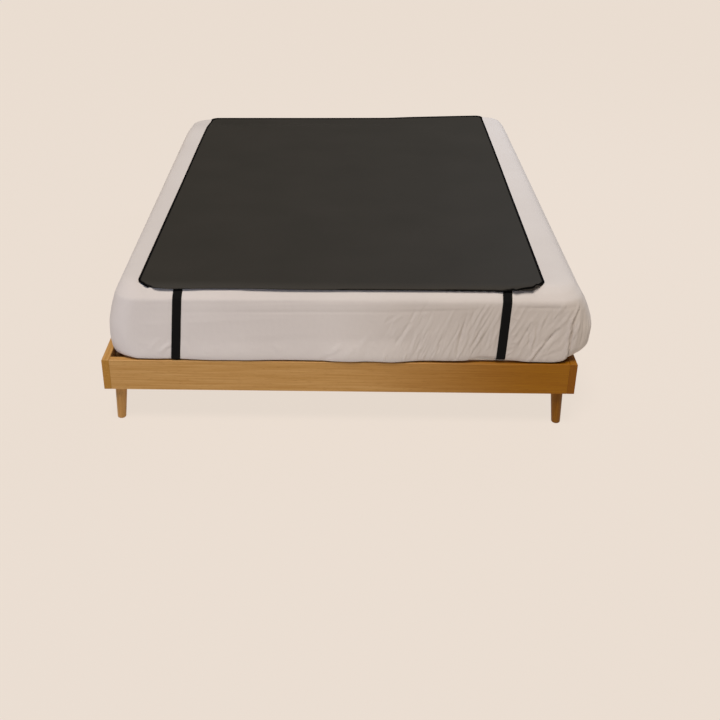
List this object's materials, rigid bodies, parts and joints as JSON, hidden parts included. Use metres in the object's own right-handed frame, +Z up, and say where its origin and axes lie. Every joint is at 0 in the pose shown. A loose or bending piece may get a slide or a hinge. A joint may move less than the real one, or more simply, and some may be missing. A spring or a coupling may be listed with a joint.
{
  "type": "grounding mat on a bed with a mattress",
  "caption": "Charcoal mat with a black bound edge, strapped flat over a mattress in a pale fitted sheet, its end bent over the foot edge, on a low oak bed frame with tapered legs.",
  "frame": {"origin": "on the floor, under the middle of the box round all that is built", "axes": "+Z up, +Y from the foot end to the head end of the bed, +X to the right as seen from the foot end"},
  "size_m": [1.6378, 2.0966, 0.518],
  "materials": {
    "mat": "smooth matte charcoal leatherette with a faint sheen",
    "binding": "black woven edge tape, folded and stitched",
    "strap": "black ribbed elastic",
    "sheet": "soft pale cotton, plain weave, lightly creased",
    "mattress": "plain knitted mattress cover",
    "oak": "satin oiled oak with long grain",
    "pine": "plain sawn pine"
  },
  "bodies": {
    "root": {"mat": "mat", "mat_binding": "binding", "strap_left": "strap", "strap_right": "strap", "fitted_sheet": "sheet", "mattress": "mattress", "rail_foot": "oak", "rail_head": "oak", "rail_left": "oak", "rail_right": "oak", "leg_foot_left": "oak", "leg_foot_right": "oak", "leg_head_left": "oak", "leg_head_right": "oak", "leg_centre_foot": "oak", "leg_centre_head": "oak", "block_foot_left": "pine", "block_foot_right": "pine", "block_head_left": "pine", "block_head_right": "pine", "ledge_left": "pine", "ledge_right": "pine", "centre_beam": "pine", "slat_1": "pine", "slat_2": "pine", "slat_3": "pine", "slat_4": "pine", "slat_5": "pine", "slat_6": "pine", "slat_7": "pine", "slat_8": "pine", "slat_9": "pine", "slat_10": "pine", "slat_11": "pine", "slat_12": "pine", "slat_13": "pine"}
  },
  "joints": []
}
